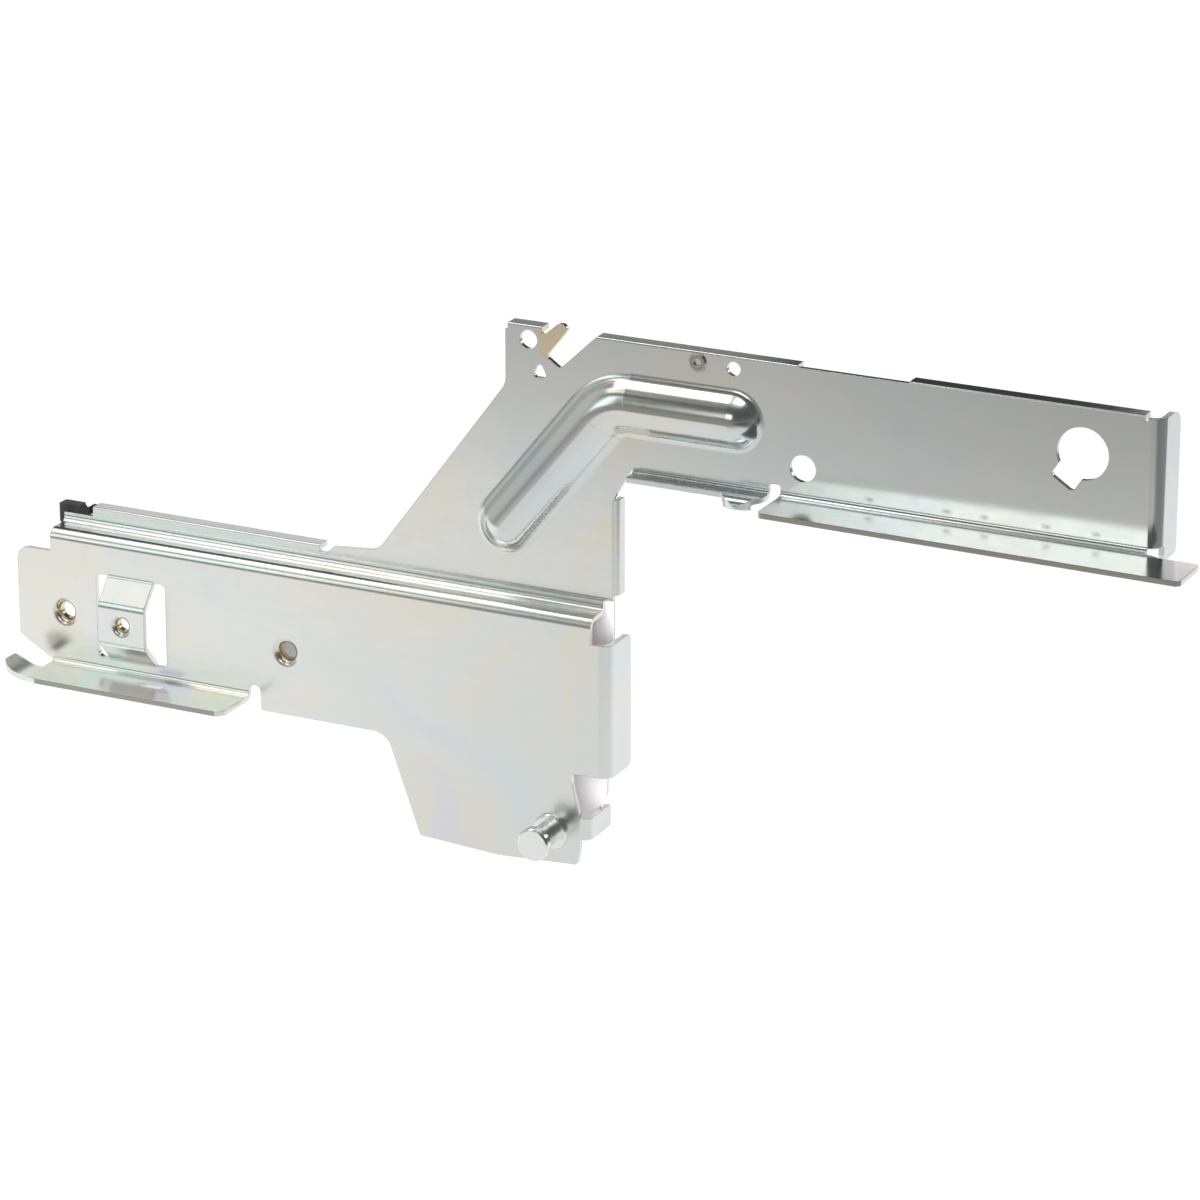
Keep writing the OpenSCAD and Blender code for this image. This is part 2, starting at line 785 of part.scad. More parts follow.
// The open notch beside the hook, cut through the sheet and the end of its rear flange.
module hook_notch() {
  past = 1.4;
  wall = [hook_x - notch_in_x, hook_z - fold_in - notch_in_z];
  slope = [blade_top_left - notch_low_x, blade_top - notch_low_z];
  upright(arm_y - slack, arm_back + rim_depth)
    outline([
      [notch_low_x, notch_low_z, die_r],
      [notch_low_x + past * slope[0], notch_low_z + past * slope[1], 0],
      [notch_in_x + past * wall[0], notch_in_z + past * wall[1], 0],
      [notch_in_x, notch_in_z, die_r]
    ]);
}

// The corner taken off the tip of the hook.
module hook_tip() {
  upright(arm_y - slack, arm_back + slack)
    corner(
      [notch_in_x, notch_in_z],
      [hook_x + fold_in * (hook_x - notch_in_x) / (hook_z - fold_in - notch_in_z), hook_z, fold_in],
      [hook_x - 2 * fold_out, hook_z]
    );
}

module arm_sheet() {
  waist = [lug_x - sheet_t - 3 * slack / 10, lug_high + slack / 2];
  web_r = boss_r - ease;
  angle_in = atan2(waist[1], waist[0]) - acos(web_r / norm(waist));
  angle_out = atan2(web_low, web_right) + acos(web_r / norm([web_right, web_low]));
  upright(arm_y, arm_back)
    difference() {
      union() {
        circle(r = boss_r);
        outline([
          [0, 0, 0],
          [web_r * cos(angle_in), web_r * sin(angle_in), 0],
          [waist[0], waist[1], die_r],
          [narrow_x, narrow_low, die_r],
          [side_x, narrow_z, 0],
          [side_x, side_flange_low, 0],
          [side_flange_x - rim_fold_out, side_flange_low, 0],
          [side_flange_x - rim_fold_out, side_flange_high, 0],
          [side_x, side_flange_high, 0],
          [lip_left, fold_z, 0],
          [tab_right, fold_z, 0],
          [tab_right, fold_z + sheet_t, die_r],
          [shelf_left, fold_z + sheet_t, die_r],
          [shelf_left, fold_z, 0],
          [blade_end_x - end_fold_out, fold_z, 0],
          [blade_end_x - end_fold_out, blade_end_top, 0],
          [blade_end_x - end_fold_out - slack, blade_end_top, 0],
          [rim_b_right + slack, blade_top - rim_fold_out, die_r],
          [rim_b_right, blade_top - rim_fold_out, 0],
          [rim_b_left, blade_top - rim_fold_out, 0],
          [rim_b_left, blade_top - rim_step, 0],
          [rim_a_right, blade_top - rim_step, 0],
          [rim_a_right, blade_top - rim_fold_out, 0],
          [hook_x + fold_in, blade_top - rim_fold_out, 0],
          [hook_x + fold_in, hook_z, 0],
          [hook_x - fold_out, hook_z, die_r],
          [ear_rim_right + fold_in, ear_top - sheet_t, die_r],
          [ear_rim_right, ear_top - rim_fold_out, 0],
          [ear_left + die_r, ear_top - rim_fold_out, 0],
          [ear_left, ear_top - rim_fold_out, 0],
          [ear_left, ear_low, plate_r],
          [slope_foot_x, slope_foot_z, plate_r],
          [tail_flange_right + nick_w, tail_top, 0],
          [tail_flange_right + nick_w / 2, tail_top - nick_h, die_r / 2],
          [tail_flange_right, tail_top - nick_h, 0],
          [tail_flange_right, tail_top - rim_fold_out, 0],
          [tail_left, tail_top - rim_fold_out, die_r],
          [tail_left, tail_low, die_r],
          [tail_step, tail_low, plate_r],
          [web_left, web_low, plate_r],
          [web_right, web_low, 0],
          [web_r * cos(angle_out), web_r * sin(angle_out), 0]
        ]);
      }
      circle(d = tenon_hole_d);
      outline([
        [pip_x - pip_w / 2, pip_z, pip_r],
        [pip_x + pip_w / 2, pip_z, pip_r],
        [pip_x, pip_z + pip_h, pip_r]
      ]);
      translate([blade_hole_x, blade_hole_z])
        circle(d = blade_hole_d);
      translate([key_x, key_z]) {
        circle(d = key_d);
        rotate(key_angle)
          outline([
            [0, -key_slot_w / 2, 0],
            [key_slot_reach, -key_slot_w / 2, key_slot_r],
            [key_slot_reach, key_slot_w / 2, key_slot_r],
            [0, key_slot_w / 2, 0]
          ]);
      }
    }
}

// The long lower flange with its free right tab.
module arm_shelf() {
  front = arm_y - shelf_reach;
  front_end = arm_y - shelf_reach_end;
  intersection() {
    union() {
      shelf(shelf_left, blade_end_x - end_fold_out, arm_y, shelf_z, shelf_reach_end + slack);
      along_z(shelf_z - sheet_t, shelf_z)
        outline([
          [blade_end_x - end_fold_out - slack, front_end - slack, 0],
          [shelf_right, front_end - slack, 0],
          [shelf_right, arm_y - fold_in, 0],
          [blade_end_x - end_fold_out - slack, arm_y - fold_in, 0]
        ]);
    }
    along_z(shelf_z - fold_out, shelf_z + fold_out)
      outline([
        [shelf_left, front, shelf_r],
        [shelf_right, front_end, shelf_r],
        [shelf_right, arm_y - shelf_tab_back, shelf_r],
        [shelf_tab_x, arm_y - shelf_tab_back, die_r],
        [shelf_tab_x - slack - sheet_t, arm_y - fold_in, 0],
        [blade_end_x - end_fold_out, arm_y - fold_in, 0],
        [blade_end_x - end_fold_out, arm_y + fold_out, 0],
        [shelf_left, arm_y + fold_out, 0]
      ]);
  }
}

// The half-round tab between the short lip and the long flange, its front turned down.
module arm_tab() {
  width = tab_right - tab_left;
  front = arm_y - tab_reach;
  low = shelf_z - tab_turn;
  intersection() {
    along_x(tab_left, tab_right)
      outline([
        [arm_y, shelf_z + fold_in, 0],
        [arm_y, shelf_z, fold_in],
        [front, shelf_z, die_r + sheet_t],
        [front, low, 0],
        [front + sheet_t, low, 0],
        [front + sheet_t, shelf_z - sheet_t, die_r],
        [arm_y + sheet_t, shelf_z - sheet_t, fold_out],
        [arm_y + sheet_t, shelf_z + fold_in, 0]
      ]);
    along_z(low - slack, shelf_z + fold_out)
      outline([
        [tab_left, front, width / 2 - slack / 10],
        [tab_right, front, width / 2 - slack / 10],
        [tab_right, arm_y + fold_out, 0],
        [tab_left, arm_y + fold_out, 0]
      ]);
  }
}

// The end flange's lower part, which passes behind the lower flange.
module arm_end_foot() {
  front = arm_y + end_fold_out + slack / 2;
  back = arm_y + blade_end_depth;
  along_x(blade_end_x - sheet_t, blade_end_x)
    outline([
      [front, blade_end_low + 2 * slack, 0],
      [front, blade_end_foot, end_r],
      [back, blade_end_foot, end_r],
      [back, blade_end_low + 2 * slack, 0]
    ]);
}

module hinge_arm() {
  color("lightgray")
    translate([0, neck_mid, 0])
    difference() {
      union() {
        arm_sheet();
        rib_bead(0);
        rim(tail_flange_left, tail_flange_right, arm_y, tail_top, rim_depth);
        rim(ear_left + die_r, ear_rim_right, arm_y, ear_top, rim_depth);
        rim(hook_x + fold_in, rim_a_right, arm_y, blade_top, rim_depth);
        rim(rim_b_left, rim_b_right, arm_y, blade_top, rim_depth);
        side(side_flange_x, arm_y, rim_depth, side_flange_low, side_flange_high, rim_fold_in, die_r, die_r);
        side(blade_end_x, arm_y, blade_end_depth, blade_end_low, blade_end_top, end_fold_in,
          die_r, blade_end_r);
        arm_end_foot();
        shelf(lip_left, tab_left + die_r, arm_y, shelf_z, lip_reach);
        arm_tab();
        arm_shelf();
        facing(ring_x, arm_y - ring_h, ring_z)
          cylinder(h = ring_h + slack, d = ring_d);
      }
      rib_bead(sheet_t);
      hook_notch();
      hook_tip();
      facing(ear_hole_x, arm_y - slack, ear_hole_z)
        cylinder(h = rim_depth + 2 * slack, d = ear_hole_d);
      facing(top_hole_x, arm_y - slack, top_hole_z)
        cylinder(h = rim_depth + 2 * slack, d = top_hole_d);
      facing(ring_x, arm_y - ring_h - slack, ring_z)
        cylinder(h = slack + ring_h, d = ring_in_d);
    }
}

module pivot_stud() {
  color("gainsboro")
    facing(0, neck_mid, 0)
      rotate_extrude()
        polygon([
          [0, -head_y],
          [head_d / 2 - head_chamfer, -head_y],
          [head_d / 2, -head_y + head_chamfer],
          [head_d / 2, -head_y + head_t - head_chamfer],
          [head_d / 2 - head_chamfer, -head_y + head_t],
          [neck_d / 2, -head_y + head_t],
          [neck_d / 2, -collar_t],
          [collar_d / 2 - head_chamfer, -collar_t],
          [collar_d / 2, -collar_t + head_chamfer],
          [collar_d / 2, 0],
          [neck_d / 2, 0],
          [neck_d / 2, arm_y],
          [tenon_d / 2, arm_y],
          [tenon_d / 2, arm_back],
          [rivet_d / 2, arm_back],
          [rivet_d / 2 - head_chamfer, arm_back + rivet_t],
          [0, arm_back + rivet_t]
        ]);
}

module rubber_buffer() {
  back = arm_back + buffer_wall;
  mid_x = tail_left - buffer_wall;
  color("dimgray")
    translate([0, neck_mid, 0])
    difference() {
      intersection() {
        along_z(buffer_low, buffer_top)
          outline([
            [buffer_left, arm_y, buffer_wall],
            [tail_left, arm_y, 0],
            [tail_left, arm_back, 0],
            [buffer_right, arm_back, 0],
            [buffer_right, back, die_r],
            [buffer_left, back, buffer_wall]
          ]);
        upright(arm_y - slack, back + slack)
          outline([
            [buffer_left - slack, buffer_low - slack, 0],
            [buffer_right + slack, buffer_low - slack, 0],
            [buffer_right + slack, buffer_top - buffer_r, 0],
            [buffer_right, buffer_top - buffer_r, 0],
            [buffer_right, buffer_top, buffer_r - slack / 10],
            [buffer_left, buffer_top, buffer_r - slack / 10],
            [buffer_left, buffer_top - buffer_r, 0],
            [buffer_left - slack, buffer_top - buffer_r, 0]
          ]);
      }
      facing(mid_x, arm_y - slack, buffer_top)
        cylinder(h = back - arm_y + 2 * slack, d = buffer_notch_d);
      translate([tail_left + buffer_gap, arm_y, tail_top - rim_fold_out - buffer_gap])
        cube([buffer_grip, back - arm_y + slack, buffer_top - buffer_low]);
    }
}

front_channel();
hinge_arm();
pivot_stud();
rubber_buffer();
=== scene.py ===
# %% [markdown]
# # A zinc-plated hinge bracket
#
# This lesson dresses a imported CAD model of an appliance hinge bracket. The bracket is two folded
# steel sheets, held together by a riveted stud, with a small rubber buffer at the far left. The CAD
# model already has every true form, so the work here is finish and light: bright zinc shows its
# shape only through what it reflects.
#
# The first cell loads the CAD model. It also keeps the places of the model's mounts, which are its holes and
# seats, because some marks sit in or beside them.

# %% Load the imported part
import json
from math import pi, radians

import bmesh
import bpy
from mathutils import Matrix, Vector


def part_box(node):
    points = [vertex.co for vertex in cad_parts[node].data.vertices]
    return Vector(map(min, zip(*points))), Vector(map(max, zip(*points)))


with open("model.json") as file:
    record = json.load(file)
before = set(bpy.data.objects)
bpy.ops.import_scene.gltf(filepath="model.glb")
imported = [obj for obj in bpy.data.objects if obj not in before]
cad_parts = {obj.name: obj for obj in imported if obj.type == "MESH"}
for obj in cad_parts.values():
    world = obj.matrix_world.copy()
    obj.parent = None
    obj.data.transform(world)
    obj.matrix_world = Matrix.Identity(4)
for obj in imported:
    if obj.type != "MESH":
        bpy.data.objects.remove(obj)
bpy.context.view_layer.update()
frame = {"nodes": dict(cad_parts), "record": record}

mounts = {mount["name"]: Vector(mount["pos_m"]) for mount in frame["record"]["mounts"]}
print("CAD nodes:", sorted(frame["nodes"]))
print("mounts:", sorted(mounts))

# %% [markdown]
# Every effect below is built the same way: a few shader nodes, joined by name. One helper sets a node's
# inputs and another adds a node. The rest are short forms of the nodes that come up most: arithmetic, a
# fade between two levels, a mix of two colours or two shaders, a ramp of colours, a noise, the place on
# the part, and a vector split into its three numbers.

# %% Helpers for shader nodes
def set_inputs(tree, node, values):
    """Sets a node's inputs; values maps a socket's name or number to a value or to another node's output."""
    for name, value in dict(values).items():
        socket = node.inputs[name]
        if isinstance(value, bpy.types.NodeSocket):
            tree.links.new(value, socket)
        else:
            socket.default_value = value


def add_node(tree, kind, inputs=(), **settings):
    """Adds one shader node, with its settings and its inputs."""
    node = tree.nodes.new(kind)
    for name, value in settings.items():
        setattr(node, name, value)
    set_inputs(tree, node, inputs)
    return node


def calculate(tree, operation, *values, use_clamp=False):
    """Works out one number from up to three, with an operation such as MULTIPLY."""
    node = add_node(tree, "ShaderNodeMath", dict(enumerate(values)), operation=operation, use_clamp=use_clamp)
    return node.outputs[0]


def fade(tree, value, span, levels, interpolation_type="LINEAR"):
    """Turns a value into a level that goes from the first to the second over the span, and stays there."""
    node = add_node(tree, "ShaderNodeMapRange", {
        "Value": value, "From Min": span[0], "From Max": span[1], "To Min": levels[0], "To Max": levels[1],
    }, interpolation_type=interpolation_type)
    return node.outputs["Result"]


def mix_colours(tree, share, first, second):
    """Mixes two colours: share 0 is all the first. A colour mix has its colours on sockets 6 and 7."""
    return add_node(tree, "ShaderNodeMix", {0: share, 6: first, 7: second}, data_type="RGBA").outputs[2]


def mix_shaders(tree, share, first, second):
    """Mixes two shaders: share 0 is all the first."""
    return add_node(tree, "ShaderNodeMixShader", {0: share, 1: first, 2: second}).outputs[0]


def colour_ramp(tree, value, stops, interpolation="LINEAR"):
    """Turns a value from 0 to 1 into a colour, by stops that each have a place and a colour."""
    node = add_node(tree, "ShaderNodeValToRGB", {"Fac": value})
    ramp = node.color_ramp
    ramp.interpolation = interpolation
    first, *between, last = stops
    for stop, (place, colour) in zip(ramp.elements, (first, last)):
        stop.position = place
        stop.color = (*colour, 1)
    for place, colour in between:
        ramp.elements.new(place).color = (*colour, 1)
    return node.outputs["Color"]


def noise(tree, place, scale, detail, **more):
    """Adds a noise, which wanders about a half from place to place."""
    node = add_node(tree, "ShaderNodeTexNoise", {"Vector": place, "Scale": scale, "Detail": detail, **more})
    return node.outputs["Fac"]


def object_place(tree):
    """Gives the shaded point's own place on the part, in metres."""
    return add_node(tree, "ShaderNodeTexCoord").outputs["Object"]


def split(tree, vector):
    """Splits a vector into its X, Y and Z."""
    return add_node(tree, "ShaderNodeSeparateXYZ", {"Vector": vector}).outputs


print("helpers ready")

# %% [markdown]
# An effect that several materials share is a node group with named sockets, so that each material can
# place it with its own amounts. Two more helpers start a group and place it.

# %% Helpers for node groups
FLOAT = "NodeSocketFloat"
COLOR = "NodeSocketColor"
VECTOR = "NodeSocketVector"


def start_group(name, inputs, outputs):
    """Makes a node group and returns its tree, what it is given and its output node."""
    tree = bpy.data.node_groups.new(name, "ShaderNodeTree")
    for title, kind, value in inputs:
        socket = tree.interface.new_socket(title, in_out="INPUT", socket_type=kind)
        socket.default_value = value
    for title, kind in outputs:
        tree.interface.new_socket(title, in_out="OUTPUT", socket_type=kind)
    return tree, tree.nodes.new("NodeGroupInput").outputs, tree.nodes.new("NodeGroupOutput")


def place_group(tree, group, **values):
    """Places a node group in a tree, with its values given by name, and returns its outputs."""
    node = add_node(tree, "ShaderNodeGroup", node_tree=group)
    set_inputs(tree, node, {name.replace("_", " "): value for name, value in values.items()})
    return node.outputs


print("socket kinds:", FLOAT, COLOR, VECTOR)

# %% [markdown]
# Bright zinc is sealed with a thin clear passivation. The film's thickness wanders, and so does its
# colour: straw, mint, pale blue and lilac, in soft patches a few centimetres wide. One slow noise picks
# the colour from a ramp, and a second one says how strongly it shows.

# %% Passivation tint
FILM_TONES = [
    (0.30, (0.62, 0.70, 0.86)),  # pale blue
    (0.41, (0.70, 0.82, 0.80)),  # mint
    (0.50, (0.80, 0.81, 0.78)),  # nearly bare
    (0.58, (0.86, 0.80, 0.62)),  # straw
    (0.66, (0.80, 0.72, 0.82)),  # lilac
    (0.76, (0.66, 0.80, 0.78)),  # mint again
]


def build_passivation_tint():
    tree, given, result = start_group(
        "Passivation Tint",
        [("Metal", COLOR, (0.75, 0.75, 0.73, 1)), ("Patch Scale", FLOAT, 20.0), ("Amount", FLOAT, 0.5)],
        [("Color", COLOR)],
    )
    place = object_place(tree)
    patches = noise(tree, place, given["Patch Scale"], 3.0, Roughness=0.55, Distortion=0.6)
    film = colour_ramp(tree, patches, FILM_TONES, interpolation="EASE")
    shows = fade(tree, noise(tree, place, scale=9.0, detail=2.0), span=(0.35, 0.65), levels=(0.35, 1.0))
    share = calculate(tree, "MULTIPLY", shows, given["Amount"])
    set_inputs(tree, result, {"Color": mix_colours(tree, share, given["Metal"], film)})
    return tree


passivation_tint = build_passivation_tint()
print("group:", passivation_tint.name)

# %% [markdown]
# Cold-rolled sheet has a fine grain along the strip, and plating adds a light mottle. Both change how
# blurred the reflections are, more than they change the colour. The grain is a noise drawn out along X.

# %% Rolled grain
def build_rolled_grain():
    tree, given, result = start_group(
        "Rolled Grain",
        [("Roughness", FLOAT, 0.3), ("Variation", FLOAT, 0.06)],
        [("Roughness", FLOAT), ("Height", FLOAT)],
    )
    place = object_place(tree)
    drawn_out = add_node(tree, "ShaderNodeMapping", {"Vector": place, "Scale": (60.0, 900.0, 900.0)})
    grain = noise(tree, drawn_out.outputs["Vector"], scale=1.0, detail=3.0)
    mottle = noise(tree, place, scale=420.0, detail=4.0)
    both = calculate(tree, "ADD", grain, mottle)
    about_zero = calculate(tree, "ADD", both, -1.0)
    change = calculate(tree, "MULTIPLY", about_zero, given["Variation"])
    roughness = calculate(tree, "ADD", change, given["Roughness"])
    set_inputs(tree, result, {"Roughness": roughness, "Height": both})
    return tree


rolled_grain = build_rolled_grain()
print("group:", rolled_grain.name)

# %% [markdown]
# A pressed part is tumbled and plated after it is bent, so its edges are a little round and rubbed
# bright. A Bevel node rounds the shading over 0.3 mm, and where it turns the normal away from the face's
# own, there is an edge.

# %% Rubbed edges
def build_rubbed_edges():
    tree, given, result = start_group(
        "Rubbed Edges",
        [("Radius", FLOAT, 0.0003), ("Color", COLOR, (0.7, 0.7, 0.7, 1)),
         ("Edge Color", COLOR, (0.9, 0.9, 0.9, 1)), ("Amount", FLOAT, 0.6)],
        [("Color", COLOR), ("Normal", VECTOR)],
    )
    rounded = add_node(tree, "ShaderNodeBevel", {"Radius": given["Radius"]}, samples=6).outputs["Normal"]
    own = add_node(tree, "ShaderNodeNewGeometry").outputs["Normal"]
    same = add_node(tree, "ShaderNodeVectorMath", {0: rounded, 1: own}, operation="DOT_PRODUCT")
    edge = fade(tree, same.outputs["Value"], span=(0.995, 0.80), levels=(0.0, 1.0))
    share = calculate(tree, "MULTIPLY", edge, given["Amount"])
    colour = mix_colours(tree, share, given["Color"], given["Edge Color"])
    set_inputs(tree, result, {"Color": colour, "Normal": rounded})
    return tree


rubbed_edges = build_rubbed_edges()
print("group:", rubbed_edges.name)

# %% [markdown]
# Some marks sit in one place only, so two small masks say where. The first is a soft round spot about a
# point, with a ragged rim. The second covers everything beyond a plane, given by its direction and its
# distance from the origin. Their places are in metres, in the CAD model's own frame.

# %% Masks for places
def build_spot():
    tree, given, result = start_group(
        "Spot",
        [("Place", VECTOR, (0.0, 0.0, 0.0)), ("Radius", FLOAT, 0.004)],
        [("Mask", FLOAT)],
    )
    here = object_place(tree)
    away = add_node(tree, "ShaderNodeVectorMath", {0: here, 1: given["Place"]}, operation="DISTANCE")
    share = calculate(tree, "DIVIDE", away.outputs["Value"], given["Radius"])
    ragged = calculate(tree, "MULTIPLY_ADD", noise(tree, here, scale=350.0, detail=3.0), 0.6, share)
    mask = fade(tree, ragged, span=(0.95, 1.45), levels=(1.0, 0.0), interpolation_type="SMOOTHSTEP")
    set_inputs(tree, result, {"Mask": mask})
    return tree


def build_beyond_plane():
    tree, given, result = start_group(
        "Beyond Plane",
        [("Direction", VECTOR, (0.0, 0.0, 1.0)), ("Distance", FLOAT, 0.0), ("Softness", FLOAT, 0.0001)],
        [("Mask", FLOAT)],
    )
    along = add_node(tree, "ShaderNodeVectorMath", {0: object_place(tree), 1: given["Direction"]},
                     operation="DOT_PRODUCT")
    past = calculate(tree, "SUBTRACT", along.outputs["Value"], given["Distance"])
    mask = calculate(tree, "DIVIDE", past, given["Softness"], use_clamp=True)
    set_inputs(tree, result, {"Mask": mask})
    return tree


spot = build_spot()
beyond_plane = build_beyond_plane()
print("groups:", spot.name, "and", beyond_plane.name)

# %% [markdown]
# The press left a row of small dents where the arm's long flange was folded, some clear and some faint. They
# get painted shade. A Voronoi texture in one dimension drops them along X at uneven distances.

# %% Painted shade in the press dents
def build_dent_shade_marks():
    tree, given, result = start_group(
        "Dent Shade Marks",
        [("Height", FLOAT, 0.110), ("Reach", FLOAT, 0.0012), ("Count Per Metre", FLOAT, 60.0)],
        [("Mask", FLOAT)],
    )
    x, _, z = split(tree, object_place(tree))
    along = calculate(tree, "MULTIPLY", x, given["Count Per Metre"])
    dents = add_node(tree, "ShaderNodeTexVoronoi", {"W": along, "Scale": 1.0}, voronoi_dimensions="1D")
    near = fade(tree, dents.outputs["Distance"], span=(0.02, 0.11), levels=(1.0, 0.0))
    off = calculate(tree, "ABSOLUTE", calculate(tree, "SUBTRACT", z, given["Height"]))
    level = fade(tree, off, span=(0.0, given["Reach"]), levels=(1.0, 0.0))
    set_inputs(tree, result, {"Mask": calculate(tree, "MULTIPLY", near, level)})
    return tree


dent_shade_marks = build_dent_shade_marks()
print("group:", dent_shade_marks.name)

# %% [markdown]
# The local marks come in five kinds. Straw-coloured film lies on the hook, and the same straw tone in the
# drawn holes is a painted warm reflection. The sheared edges at the front of the flanges are darker. The
# press dents and the small pressed ring under the arm's top edge get painted shade. Between the two sheets
# the arm's face gets painted light, a pale and dull patch. Each kind has a tone, which is laid over the metal
# where its mask is 1.

# %% Local marks
# In the drawn holes this straw tone is a painted warm reflection; on the hook it is the film's own colour.
STRAW = (0.84, 0.70, 0.45, 1)
SHEARED = (0.36, 0.34, 0.31, 1)
# The dark tone below is painted shade, for the press dents and the pressed ring.
DENT_SHADE = (0.30, 0.28, 0.25, 1)
# The pale tone below is painted light, for the arm's face between the sheets, where light falls in from the
# right.
PAINTED_LIGHT_PALE = (0.96, 0.92, 0.95, 1)


def lay_over(tree, colour, mask, tone, cover=1.0):
    """Lays a tone over a colour where the mask is 1; cover is how much of it then shows."""
    return mix_colours(tree, calculate(tree, "MULTIPLY", mask, cover), colour, tone)


def spot_mask(tree, place, radius):
    return place_group(tree, spot, Place=place, Radius=radius)["Mask"]


def plane_mask(tree, direction, distance, softness=0.0001):
    return place_group(tree, beyond_plane, Direction=direction, Distance=distance, Softness=softness)["Mask"]


def ring_mask(tree, place, outer, inner):
    """Marks a ring: a wide spot without the narrow one in its middle."""
    wide = spot_mask(tree, place, outer)
    return calculate(tree, "SUBTRACT", wide, spot_mask(tree, place, inner), use_clamp=True)


def dents_mask(tree, height, reach, start):
    """Marks where the dents' painted shade goes: a row at a height, to the right of its start."""
    marks = place_group(tree, dent_shade_marks, Height=height, Reach=reach)["Mask"]
    return calculate(tree, "MULTIPLY", marks, plane_mask(tree, (1, 0, 0), start, softness=0.001))


def between_sheets_mask(tree, depth, top):
    """Marks what is in front of a depth and below a top level, where the plate covers the arm."""
    ahead = plane_mask(tree, (0, -1, 0), -depth, softness=0.0002)
    return calculate(tree, "MULTIPLY", ahead, plane_mask(tree, (0, 0, -1), -top, softness=0.001))


print("tones:", STRAW, SHEARED, DENT_SHADE, PAINTED_LIGHT_PALE)

# %% [markdown]
# The zinc itself is one Principled shader. Tint, edges and grain come from the groups, and each piece gets
# its own base colour and roughness. The arm's darker base colour is painted shade: it stands in for the
# duller light that the right half of the part reflects.
# The rubbed edges are laid over the straw tone and the ring's painted shade, but under the other marks. The
# painted light between the sheets is not metal, so it takes the Metallic value down and the roughness up, and
# the bright white that dull surfaces gather then lights it pale.

# %% Zinc
def start_material(name):
    """Makes a material and returns it with its tree and its Principled shader."""
    material = bpy.data.materials.new(name)
    material.use_nodes = True
    return material, material.node_tree, material.node_tree.nodes["Principled BSDF"]


def make_zinc(name, metal, roughness, tint, patch_scale, straw=(), rings=(), dents=(), sheared=(), painted_light_zones=()):
    """Makes the zinc of one piece, with the measures of each of its local marks."""
    material, tree, shader = start_material(name)
    film = place_group(tree, passivation_tint, Metal=(*metal, 1), Patch_Scale=patch_scale, Amount=tint)
    colour = film["Color"]
    # In the drawn holes the straw tone is a painted warm reflection; on the hook it is film.
    for measures in straw:
        colour = lay_over(tree, colour, spot_mask(tree, *measures), STRAW, cover=0.85)
    # The rings get painted shade.
    for measures in rings:
        colour = lay_over(tree, colour, ring_mask(tree, *measures), DENT_SHADE, cover=0.75)
    edges = place_group(tree, rubbed_edges, Color=colour, Edge_Color=(0.88, 0.88, 0.85, 1), Amount=0.45)
    colour = edges["Color"]
    # The dents get painted shade.
    for measures in dents:
        colour = lay_over(tree, colour, dents_mask(tree, *measures), DENT_SHADE, cover=0.6)
    for measures in sheared:
        colour = lay_over(tree, colour, plane_mask(tree, *measures), SHEARED)
    grain = place_group(tree, rolled_grain, Roughness=roughness, Variation=0.06)
    dullness = grain["Roughness"]
    metallic = 1.0
    # Painted light: between the sheets the arm turns pale, dull and not metal, so the bright white that dull
    # surfaces gather lights it.
    for measures in painted_light_zones:
        painted_light_mask = between_sheets_mask(tree, *measures)
        colour = lay_over(tree, colour, painted_light_mask, PAINTED_LIGHT_PALE)
        metallic = fade(tree, painted_light_mask, span=(0.0, 1.0), levels=(1.0, 0.0))
        dullness = calculate(tree, "MULTIPLY_ADD", painted_light_mask, 0.3, dullness)
    relief = add_node(tree, "ShaderNodeBump", {
        "Strength": 0.006, "Distance": 0.0002, "Height": grain["Height"], "Normal": edges["Normal"]})
    set_inputs(tree, shader, {"Base Color": colour, "Metallic": metallic, "Roughness": dullness,
                              "Normal": relief.outputs["Normal"]})
    return material


print("zinc recipe ready")

# %% [markdown]
# Now each piece gets its zinc. Just in front of the middle of each drawn hole the straw tone is a painted
# warm reflection. The foot's sheared edge is the foremost part of the plate's sheet. The long flange's front
# edge slants a little, so the plane that marks it slants too. The dents' painted shade runs along that
# flange's bend, just above its face. The pale painted light covers the front half of the arm's sheet, from
# the ledge down.

# %% Zinc for each piece
def in_front_of(mount, distance):
    """Gives the place that far in front of a mount."""
    return mounts[mount] - Vector((0, distance, 0))


foot_front = -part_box("front_channel")[0].y
# The straw spots in the drawn holes are a painted warm reflection.
screw_hole_warm_reflection = 0.0042
bridge_hole_warm_reflection = 0.0034
zinc_plate = make_zinc(
    "zinc_plate", metal=(0.80, 0.79, 0.77), roughness=0.23, tint=0.55, patch_scale=22.0,
    straw=[(in_front_of("screw_hole_left", 0.0002), screw_hole_warm_reflection),
           (in_front_of("screw_hole_right", 0.0002), screw_hole_warm_reflection),
           (in_front_of("bridge_hole", 0.00055), bridge_hole_warm_reflection)],
    sheared=[((0, -1, 0), foot_front - 0.0001)])

hook = (-0.0030, 0.0158, 0.1430)
hook_film = 0.0066
# The pressed ring gets painted shade in its hollow: a dark ring laid over the metal.
pressed_ring = (0.0407, 0.0145, 0.1430)
ring_outside = 0.0029
ring_inside = 0.0013
dent_level = mounts["arm_shelf_face"].z + 0.0028
dent_reach = 0.0010
flange_left = 0.068
flange_slant = 0.0177
flange_front = 0.0003
# Where the pale painted light goes on the arm's face between the sheets.
lit_patch_depth = mounts["keyhole"].y - 0.00035
lit_patch_top = 0.0692
